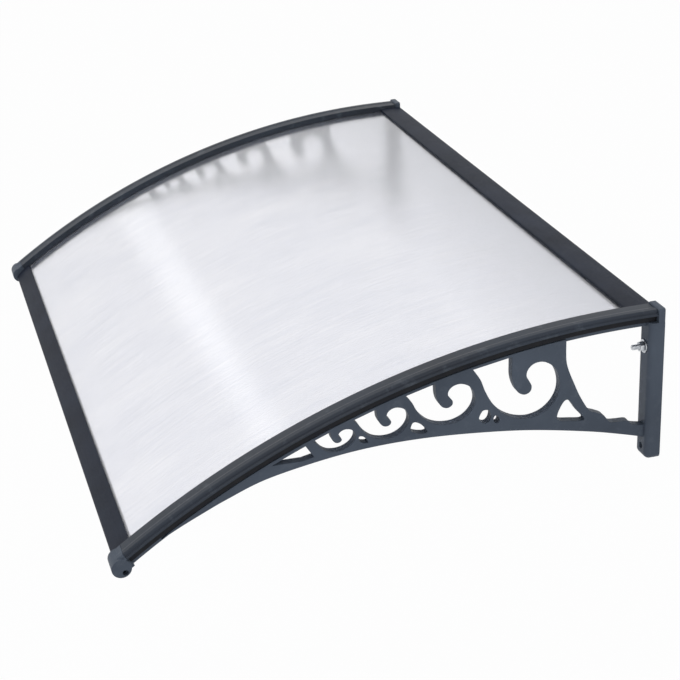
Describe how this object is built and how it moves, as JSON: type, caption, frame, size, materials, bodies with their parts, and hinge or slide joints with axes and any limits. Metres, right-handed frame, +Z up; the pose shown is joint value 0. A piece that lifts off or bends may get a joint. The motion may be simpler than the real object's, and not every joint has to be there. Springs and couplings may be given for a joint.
{
  "type": "door canopy",
  "caption": "Arched door canopy: a clear polycarbonate sheet on scrolled wall brackets, with cover strips along its sides and a bar at the wall and at the front.",
  "frame": {"origin": "middle of the wall bar's back face, on the wall plane, at the height of the sheet's top", "axes": "+X across the door to the right seen from the street, +Y into the wall, +Z up; the canopy reaches out along -Y"},
  "size_m": [1.2, 0.8056, 0.2699],
  "materials": {
    "clear_sheet": "clear twin-wall polycarbonate, slightly milky",
    "slate_plastic": "satin moulded plastic, slate grey",
    "strip_plastic": "satin extruded plastic, slate grey",
    "slate_aluminium": "slate grey powder coat on extruded aluminium",
    "black_rubber": "matt black rubber",
    "zinc": "bright zinc plate",
    "bolt_zinc": "bright zinc plate"
  },
  "bodies": {
    "root": {"roof_sheet": "clear_sheet", "bracket_right": "slate_plastic", "bracket_left": "slate_plastic", "cover_strip_right": "strip_plastic", "cover_strip_left": "strip_plastic", "edge_seal_right": "black_rubber", "edge_seal_left": "black_rubber", "wall_bar": "slate_aluminium", "front_bar": "slate_aluminium", "strip_screw_right_1": "zinc", "strip_screw_right_2": "zinc", "strip_screw_right_3": "zinc", "strip_screw_right_4": "zinc", "strip_screw_right_5": "zinc", "strip_screw_left_1": "zinc", "strip_screw_left_2": "zinc", "strip_screw_left_3": "zinc", "strip_screw_left_4": "zinc", "strip_screw_left_5": "zinc", "bar_screw_wall_right": "zinc", "bar_screw_front_right": "zinc", "bar_screw_wall_left": "zinc", "bar_screw_front_left": "zinc", "wall_bolt_right": "bolt_zinc", "wall_washer_right": "bolt_zinc", "wall_nut_right": "bolt_zinc", "wall_bolt_left": "bolt_zinc", "wall_washer_left": "bolt_zinc", "wall_nut_left": "bolt_zinc"}
  },
  "joints": []
}
